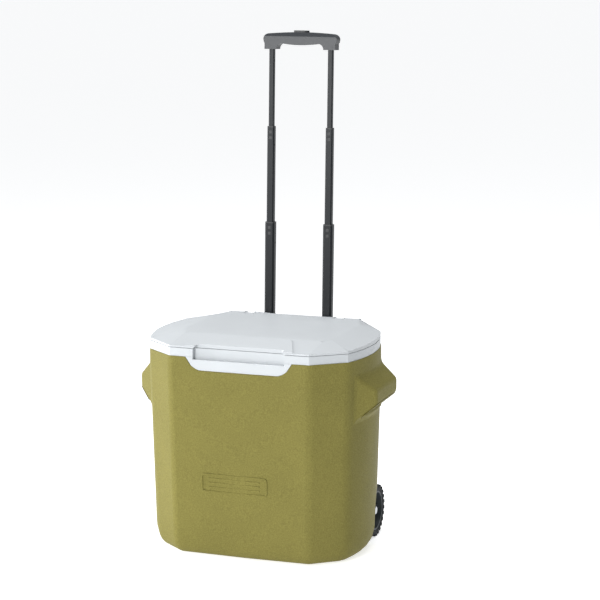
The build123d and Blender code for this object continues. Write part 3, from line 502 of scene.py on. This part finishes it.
def build_shell(props):
    """The coloured shell: rounded block, cut for wheels and tongue, opened at the top and given its wall."""
    bm = body_cage()
    bm = rounded(bm, crease_widths, 5)
    slope = Vector((0, math.sin(UNDERCUT_SLOPE), -math.cos(UNDERCUT_SLOPE)))
    cut = bmesh.ops.bisect_plane(bm, geom=[*bm.verts, *bm.edges, *bm.faces], dist=1e-6,
                                 plane_co=(0, UNDERCUT_Y, 0), plane_no=slope, clear_outer=True)["geom_cut"]
    bmesh.ops.contextual_create(bm, geom=[g for g in cut if isinstance(g, bmesh.types.BMEdge)])
    bmesh.ops.recalc_face_normals(bm, faces=bm.faces)
    for side in (-1, 1):
        bm = combined(bm, well_cutter(side))
    bm = combined(bm, notch_cutter())
    bevel_edges(bm, sharp_edges(bm, math.radians(28), lambda m: m.z < 130 * MM), 2.2 * MM, 3)
    bm.normal_update()
    opened = [
        f for f in bm.faces
        if f.calc_center_median().z > SHELL_TOP - 0.5 * MM and f.normal.z > 0.9
        or f.calc_center_median().y > -162.5 * MM and f.calc_center_median().y < -145 * MM
        and f.calc_center_median().z > TONGUE_BOTTOM - 1 * MM
        and abs(f.calc_center_median().x) < TONGUE_TOP_X and f.normal.y > -0.6
    ]
    bmesh.ops.delete(bm, geom=opened, context="FACES")
    loose = [v for v in bm.verts if not v.link_faces]
    bmesh.ops.delete(bm, geom=loose, context="VERTS")

    def add_wall(scratch):
        modifier = scratch.modifiers.new("wall", "SOLIDIFY")
        modifier.thickness, modifier.offset = props.wall, -1.0
    bm = evaluated(bm, add_wall)
    lip = sharp_edges(bm, math.radians(50), lambda m: m.z > TONGUE_BOTTOM - 4 * MM and abs(m.x) < 225 * MM)
    bevel_edges(bm, lip, 0.7 * MM, 2)
    return finish_piece(bm, "shell_moulding", "shell", "root", ["body_shell"])


# ---------------------------------------------------------------- front panel
PANEL_CENTRE, PANEL_SIZE, PANEL_ROUND = (-12 * MM, 150 * MM), (134 * MM, 37 * MM), 7 * MM
PANEL_PROUD = 2.9 * MM


def build_panel():
    """A plain ribbed panel in low relief on the front wall."""
    bm = bmesh.new()
    wide, high = PANEL_SIZE
    corners = ((-wide / 2, -high / 2), (wide / 2, -high / 2), (wide / 2, high / 2), (-wide / 2, high / 2))
    face = bm.faces.new([bm.verts.new((x, 0, z)) for x, z in corners])
    made = bmesh.ops.extrude_face_region(bm, geom=[face])["geom"]
    bmesh.ops.translate(bm, verts=[g for g in made if isinstance(g, bmesh.types.BMVert)], vec=(0, 4 * MM, 0))
    across = [e for e in bm.edges if abs(e.verts[0].co.y - e.verts[1].co.y) > 1 * MM]
    bevel_edges(bm, across, PANEL_ROUND, 6)
    bmesh.ops.recalc_face_normals(bm, faces=bm.faces)
    front = [f for f in bm.faces if f.calc_center_median().y < 1e-6 and f.normal.y < -0.9]
    bmesh.ops.inset_region(bm, faces=front, thickness=3.0 * MM, use_even_offset=True)
    bmesh.ops.inset_region(bm, faces=front, thickness=0.7 * MM, depth=-2.1 * MM, use_even_offset=True)
    bevel_edges(bm, sharp_edges(bm, math.radians(25)), 0.4 * MM, 2)
    for row in (-1, 0, 1):
        made = bmesh.ops.create_cube(bm, size=1.0)["verts"]
        length = wide - 30 * MM
        bmesh.ops.scale(bm, verts=made, vec=(length, 2.4 * MM, 3.6 * MM))
        bmesh.ops.translate(bm, verts=made, vec=(0, 1.7 * MM, row * 8.5 * MM))
        bars = list({e for v in made for e in v.link_edges})
        bevel_edges(bm, bars, 0.7 * MM, 3)
    (low_x, low_z), lean = PANEL_CENTRE, math.atan2(LEVELS[2][1] - LEVELS[3][1], LEVELS[2][0] - LEVELS[3][0])
    wall_y = FRONT_MID.y - LEVELS[3][1] - (low_z - LEVELS[3][0]) * math.tan(lean)
    bmesh.ops.rotate(bm, verts=bm.verts, matrix=Matrix.Rotation(lean, 3, "X"))
    bmesh.ops.translate(bm, verts=bm.verts, vec=(low_x, wall_y - PANEL_PROUD, low_z))
    for vert in bm.verts:
        vert.co.y += abs(vert.co.x) * (FRONT.y - FRONT_MID.y) / FRONT.x
    return finish_piece(bm, "front_panel_relief", "shell", "root", [])


# ---------------------------------------------------------------- the lid's cover
LID_WALL = 2.4 * MM
LID_EDGES = (3.2, 3.4, 4.8, 5.4, 6.0, 6.5, 6.8, 7.0, 7.2, 7.6, 10.5, 11.5)   # thickness of its edge, front to rear
PLATEAU = (  # where the flat top's outline lies inside each point of the plan, right half
    (0, -78), (141, -80), (150, -62), (154, -46), (157, -26), (155, -4), (153.5, 18), (155, 44), (157, 70),
    (158.5, 100), (139, 156), (0, 156),
)
PLATEAU_Z, CROWN_Y = LID_HIGH.z - 1.2 * MM, 38 * MM
RECESS_X, RECESS_TOP_X = 92 * MM, 82 * MM
BROW = ((-108, -160.6), (108, -160.6), (84, -96), (78, -88), (-78, -88), (-84, -96))   # frame round the recess
BROW_PROUD = 1.7 * MM
HINGE_Y = 152.5 * MM
EAR_X, EAR_FRONT, EAR_GAP = 95 * MM, 144 * MM, (17 * MM, 40 * MM, 40 * MM)


def step_in(bm, face, place):
    """Insets a face, and puts each of its new corners where place says for the old one."""
    old = {vert: vert.co.copy() for vert in face.verts}
    bmesh.ops.inset_region(bm, faces=[face], thickness=1 * MM, use_boundary=True)
    inner = set(face.verts)
    for vert in inner:
        if vert in old:
            vert.co = place(old[vert])
        else:
            outer = next(e.other_vert(vert) for e in vert.link_edges if e.other_vert(vert) not in inner)
            vert.co = place(outer.co)


def wing_height(y):
    """Height of the front wing, which slopes up from the lid's front edge to its flat top."""
    front, crease = FRONT_MID.y, PLATEAU[0][1] * MM
    low = LID_LOW.z + LID_EDGES[0] * MM
    return low + (PLATEAU_Z - low) * (y - front) / (crease - front)


def lid_block():
    """Closed block of the lid: a thin edge, sloping wings and a crowned flat top."""
    bm = bmesh.new()
    points = plan_points()
    folded = [i if i < len(LID_EDGES) else len(points) - i for i in range(len(points))]
    top = ring_face(bm, points, LID_LOW.z)

    def corner(place):
        return min(range(len(points)), key=lambda k: (points[k] - place.xy).length)

    made = bmesh.ops.extrude_face_region(bm, geom=[top])["geom"]
    bmesh.ops.delete(bm, geom=[top], context="FACES_ONLY")
    top = next(g for g in made if isinstance(g, bmesh.types.BMFace))
    for vert in top.verts:
        vert.co.z += LID_EDGES[folded[corner(vert.co)]] * MM

    def to_plateau(place):
        x, y = PLATEAU[folded[corner(place)]]
        return Vector((math.copysign(x * MM, place.x), y * MM, PLATEAU_Z))
    step_in(bm, top, to_plateau)

    def to_crown(place):
        return Vector((place.x * 0.7, CROWN_Y + (place.y - CROWN_Y) * 0.7, LID_HIGH.z - 0.4 * MM))
    step_in(bm, top, to_crown)
    bmesh.ops.contextual_create(bm, geom=[e for e in bm.edges if e.is_boundary])
    bmesh.ops.recalc_face_normals(bm, faces=bm.faces)

    return bm


def lid_slab():
    """The lid's thickness seen from the side: flat, with its rear end rounded about the hinge."""
    bm = bmesh.new()
    thick = LID_HIGH.z - LID_LOW.z
    bmesh.ops.create_cube(bm, size=1.0)
    bmesh.ops.scale(bm, verts=bm.verts, vec=(0.6, 0.6, thick))
    bmesh.ops.translate(bm, verts=bm.verts, vec=(0, LID_HIGH.y - 0.3, LID_LOW.z + thick / 2))
    rear = [e for e in bm.edges if all(v.co.y > 0 for v in e.verts) and abs(e.verts[0].co.z - e.verts[1].co.z) < 1e-6]
    bevel_edges(bm, rear, thick / 2 - 0.02 * MM, 8)
    bmesh.ops.recalc_face_normals(bm, faces=bm.faces)
    return bm


def build_brow():
    """A coarse-grained pad on the front wing, cut out round the finger recess."""
    bm = bmesh.new()
    verts = [bm.verts.new((x * MM, y * MM, wing_height(y * MM) + BROW_PROUD)) for x, y in BROW]
    made = bmesh.ops.extrude_face_region(bm, geom=[bm.faces.new(verts)])["geom"]
    bmesh.ops.translate(bm, verts=[g for g in made if isinstance(g, bmesh.types.BMVert)], vec=(0, 0, -3.2 * MM))
    for vert in bm.verts:
        vert.co.z = max(vert.co.z, LID_LOW.z + 0.2 * MM)
    bmesh.ops.recalc_face_normals(bm, faces=bm.faces)
    bm = combined(bm, lid_cutter())
    bevel_edges(bm, sharp_edges(bm, math.radians(25)), 0.45 * MM, 2)
    return finish_piece(bm, "lid_brow_pad", "coarse", "lid", [])


def lid_cutter():
    """What is cut from the lid: the finger recess, narrower at its top, and a gap round each hinge ear."""
    bm = bmesh.new()
    low, high = LID_LOW.z - 5 * MM, LID_HIGH.z + 5 * MM
    ring = []
    for z, x, back in ((low, RECESS_X + 3 * MM, -155 * MM), (high, RECESS_TOP_X - 5 * MM, -141 * MM)):
        ring.append([bm.verts.new(p) for p in ((-x, -190 * MM, z), (x, -190 * MM, z), (x, back, z), (-x, back, z))])
    edges = [bm.edges.new((r[i], r[(i + 1) % 4])) for r in ring for i in range(4)]
    bmesh.ops.bridge_loops(bm, edges=edges)
    bmesh.ops.holes_fill(bm, edges=bm.edges, sides=4)
    back = [e for e in bm.edges if all(v.co.y > -160 * MM for v in e.verts)
            and abs(e.verts[0].co.z - e.verts[1].co.z) > 5 * MM]
    bevel_edges(bm, back, 5 * MM, 5)
    for side in (-1, 1):
        gap = bmesh.ops.create_cube(bm, size=1.0)["verts"]
        bmesh.ops.scale(bm, verts=gap, vec=EAR_GAP)
        place = (side * EAR_X, EAR_FRONT + EAR_GAP[1] / 2, LID_LOW.z + 0.37 * EAR_GAP[2])
        bmesh.ops.translate(bm, verts=gap, vec=place)
    bmesh.ops.recalc_face_normals(bm, faces=bm.faces)
    return bm


def lid_widths(bm):
    """How far each crease of the lid is rounded."""
    widths = {}
    for edge in sharp_edges(bm, math.radians(4)):
        middle = (edge.verts[0].co + edge.verts[1].co) / 2
        if middle.z < LID_LOW.z + 0.1 * MM:
            widths[edge] = 0.9 * MM
        elif middle.y > HINGE_Y - 0.1 * MM:
            widths[edge] = 0.2 * MM
        elif min(v.co.z for v in edge.verts) > PLATEAU_Z - 0.05 * MM:
            widths[edge] = 5 * MM
        else:
            widths[edge] = 0.8 * MM
    return widths


def build_lid():
    """The lid's cover, with its wings, finger recess and hinge gaps."""
    bm = combined(combined(lid_block(), lid_slab(), "INTERSECT"), lid_cutter())
    bm = rounded(bm, lid_widths, 3)
    bm.normal_update()
    underside = [f for f in bm.faces if f.normal.z < -0.95 and f.calc_center_median().z < LID_LOW.z + 0.3 * MM]
    bmesh.ops.delete(bm, geom=underside, context="FACES")

    def add_wall(scratch):
        modifier = scratch.modifiers.new("wall", "SOLIDIFY")
        modifier.thickness, modifier.offset = LID_WALL, -1.0
    bm = evaluated(bm, add_wall)
    return finish_piece(bm, "lid_top_moulding", "white", "lid", ["lid_cover"])


# ---------------------------------------------------------------- pieces softened from the frame
SOFTENED = (  # node, piece, finish, edge rounding in millimetres
    ("inner_liner", "rim_and_tub", "white", 1.2),
    ("lid_liner", "lid_inner_panel", "white", 0.8),
    ("guide_tube_left", "guide_tube_left_coated", "tube", 0.3),
    ("guide_tube_right", "guide_tube_right_coated", "tube", 0.3),
    ("guide_bushes", "guide_bushes_moulded", "black_plastic", 0.25),
    ("lower_bracket", "lower_bracket_moulded", "black_plastic", 0.8),
    ("upper_bracket", "upper_bracket_moulded", "black_plastic", 0.8),
    ("bracket_screws", "bracket_screws_plated", "steel", 0.2),
    ("axle_left", "axle_left_plated", "steel", 0.3),
    ("axle_right", "axle_right_plated", "steel", 0.3),
    ("axle_socket_left", "axle_socket_left_moulded", "black_plastic", 0.4),
    ("axle_socket_right", "axle_socket_right_moulded", "black_plastic", 0.4),
    ("axle_washers", "axle_washers_plated", "steel", 0.2),
    ("axle_push_nuts", "axle_push_nuts_plated", "steel", 0.3),
    ("lower_tube_left", "lower_tube_left_coated", "tube", 0.35),
    ("lower_tube_right", "lower_tube_right_coated", "tube", 0.35),
    ("lower_tube_bushes", "lower_tube_bushes_moulded", "black_plastic", 0.25),
    ("middle_tube_left", "middle_tube_left_coated", "tube", 0.3),
    ("middle_tube_right", "middle_tube_right_coated", "tube", 0.3),
    ("middle_tube_bushes", "middle_tube_bushes_moulded", "black_plastic", 0.25),
    ("upper_tube_left", "upper_tube_left_coated", "tube", 0.25),
    ("upper_tube_right", "upper_tube_right_coated", "tube", 0.25),
    ("grip_base", "grip_base_moulded", "grip", 1.2),
    ("grip_cover", "grip_cover_moulded", "grip", 1.2),
    ("grip_screws", "grip_screws_plated", "steel", 0.25),
    ("release_button", "release_button_moulded", "black_plastic", 0.5),
    ("wheel_hub_left", "wheel_hub_left_moulded", "hub", 0.6),
    ("wheel_hub_right", "wheel_hub_right_moulded", "hub", 0.6),
    ("tyre_left", "tyre_left_moulded", "tyre", 0.5),
    ("tyre_right", "tyre_right_moulded", "tyre", 0.5),
)


def body_of(node):
    return next(name for name, members in frame["record"]["behaviour"]["bodies"].items() if node in members)


def build_softened(rows):
    for node, piece, finish, width in rows:
        bm = softened(node, width * MM)
        finish_piece(bm, piece, finish, body_of(node), [node])


def finish_kept_nodes():
    """Gives each CAD node that still shows the finish of its slot."""
    slots = {row["node"]: row["material_slot"] for row in frame["record"]["subparts"]}
    for name, node in frame["nodes"].items():
        if not node.hide_render:
            node.data.materials.clear()
            node.data.materials.append(MATERIALS[slots[name]])


# ---------------------------------------------------------------- settings
class CoolerColours(bpy.types.PropertyGroup):
    shell: FloatVectorProperty(name="Shell", description="Colour of the body", subtype="COLOR", size=4,
                               default=linear("#756f3b"))
    lid: FloatVectorProperty(name="Lid", description="Colour of the lid and rim", subtype="COLOR", size=4,
                             default=linear("#b9bdc0"))
    tube: FloatVectorProperty(name="Tubes", description="Colour of the handle's tubes", subtype="COLOR", size=4,
                              default=linear("#101418"))


class CoolerSizes(bpy.types.PropertyGroup):
    wall: FloatProperty(name="Wall", description="Thickness of the shell's wall", unit="LENGTH", default=3 * MM)
    grain: FloatProperty(name="Grain", description="Width of the shell's pebbles", unit="LENGTH", default=2.2 * MM)


# ---------------------------------------------------------------- operators
class COOLER_OT_finishes(bpy.types.Operator):
    """Make the cooler's materials"""
    bl_idname = "cooler.finishes"
    bl_label = "Finishes"

    def execute(self, context):
        scene = context.scene
        MATERIALS.update(all_materials(scene.cooler_colours, scene.cooler_sizes.grain))
        return {"FINISHED"}


class COOLER_OT_body(bpy.types.Operator):
    """Build the coloured shell and its front panel"""
    bl_idname = "cooler.body"
    bl_label = "Body Shell"

    def execute(self, context):
        build_shell(context.scene.cooler_sizes)
        build_panel()
        return {"FINISHED"}


class COOLER_OT_lid(bpy.types.Operator):
    """Build the lid's cover"""
    bl_idname = "cooler.lid"
    bl_label = "Lid"

    def execute(self, context):
        build_lid()
        build_brow()
        return {"FINISHED"}


class COOLER_OT_fittings(bpy.types.Operator):
    """Build the rim, handle, brackets and wheels, and finish the nodes that stay"""
    bl_idname = "cooler.fittings"
    bl_label = "Fittings"

    def execute(self, context):
        build_softened(SOFTENED)
        finish_kept_nodes()
        return {"FINISHED"}


class COOLER_OT_stage(bpy.types.Operator):
    """Set up the floor, the lights and the camera"""
    bl_idname = "cooler.stage"
    bl_label = "Stage"

    def execute(self, context):
        scene = context.scene
        build_floor()
        build_lights(scene)
        build_camera(scene)
        return {"FINISHED"}


# ---------------------------------------------------------------- stage
def build_floor():
    """A wide pale floor."""
    bm = bmesh.new()
    bmesh.ops.create_grid(bm, x_segments=1, y_segments=1, size=400.0)
    mesh = bpy.data.meshes.new("floor")
    bm.to_mesh(mesh)
    bm.free()
    material = new_material("lit_paper_white", linear("#e4e5e6"), Roughness=0.95, Emission_Strength=0.64)[0]
    material.node_tree.nodes["Principled BSDF"].inputs["Emission Color"].default_value = linear("#ffffff")
    mesh.materials.append(material)
    floor = bpy.data.objects.new("floor", mesh)
    bpy.context.scene.collection.objects.link(floor)


def add_area_light(name, place, target, size, power, colour="#ffffff"):
    light = bpy.data.lights.new(name, "AREA")
    light.shape, light.size, light.energy = "DISK", size, power
    light.color = linear(colour)[:3]
    lamp = bpy.data.objects.new(name, light)
    lamp.location = place
    lamp.rotation_mode = "QUATERNION"
    lamp.rotation_quaternion = (Vector(target) - Vector(place)).to_track_quat("-Z", "Y")
    bpy.context.scene.collection.objects.link(lamp)


def build_lights(scene):
    """A pale surround, a key light at the left, a light at the front left and a light from above."""
    world = bpy.data.worlds.new("studio")
    world.use_nodes = True
    background = world.node_tree.nodes["Background"]
    background.inputs["Color"].default_value = linear("#f4f6f8")
    background.inputs["Strength"].default_value = 0.42
    scene.world = world
    add_area_light("left_light", (-3.3, -0.4, 0.8), (0, 0, 0.2), 1.5, 110)
    add_area_light("front_light", (-1.0, -3.4, 1.3), (0, 0, 0.3), 1.2, 78)
    add_area_light("top_light", (0.1, 0.3, 2.7), (0, 0, 0.3), 1.6, 48)
    scene.view_settings.view_transform = "Standard"


CAMERA_PLACE = Vector((1334.86, -3624.96, 1179.88)) * MM
CAMERA_TARGET = Vector((66.2, 0.0, 485.5)) * MM
CAMERA_LENS = 121.348


def build_camera(scene):
    """The camera, to the right of the front and a little above."""
    data = bpy.data.cameras.new("camera")
    data.lens, data.sensor_width = CAMERA_LENS, 36.0
    data.clip_start, data.clip_end = 0.1, 100.0
    camera = bpy.data.objects.new("camera", data)
    camera.location = CAMERA_PLACE
    camera.rotation_mode = "QUATERNION"
    camera.rotation_quaternion = (CAMERA_TARGET - CAMERA_PLACE).to_track_quat("-Z", "Y")
    scene.collection.objects.link(camera)
    scene.camera = camera


# ---------------------------------------------------------------- panel and registration
STEPS = (COOLER_OT_finishes, COOLER_OT_body, COOLER_OT_lid, COOLER_OT_fittings, COOLER_OT_stage)


class COOLER_PT_panel(bpy.types.Panel):
    """Lists the cooler's settings and the steps that build it"""
    bl_idname = "COOLER_PT_panel"
    bl_label = "Wheeled Cooler"
    bl_space_type = "VIEW_3D"
    bl_region_type = "UI"
    bl_category = "Cooler"

    def draw(self, context):
        for group in (context.scene.cooler_colours, context.scene.cooler_sizes):
            for name in group.__annotations__:
                self.layout.prop(group, name)
        for step in STEPS:
            self.layout.operator(step.bl_idname)


CLASSES = (CoolerColours, CoolerSizes, *STEPS, COOLER_PT_panel)


def register():
    for cls in CLASSES:
        bpy.utils.register_class(cls)
    bpy.types.Scene.cooler_colours = PointerProperty(type=CoolerColours)
    bpy.types.Scene.cooler_sizes = PointerProperty(type=CoolerSizes)


def unregister():
    del bpy.types.Scene.cooler_sizes
    del bpy.types.Scene.cooler_colours
    for cls in reversed(CLASSES):
        bpy.utils.unregister_class(cls)


def main():
    register()
    bpy.ops.cooler.finishes()
    bpy.ops.cooler.body()
    bpy.ops.cooler.lid()
    bpy.ops.cooler.fittings()
    bpy.ops.cooler.stage()


if __name__ == "__main__":
    main()
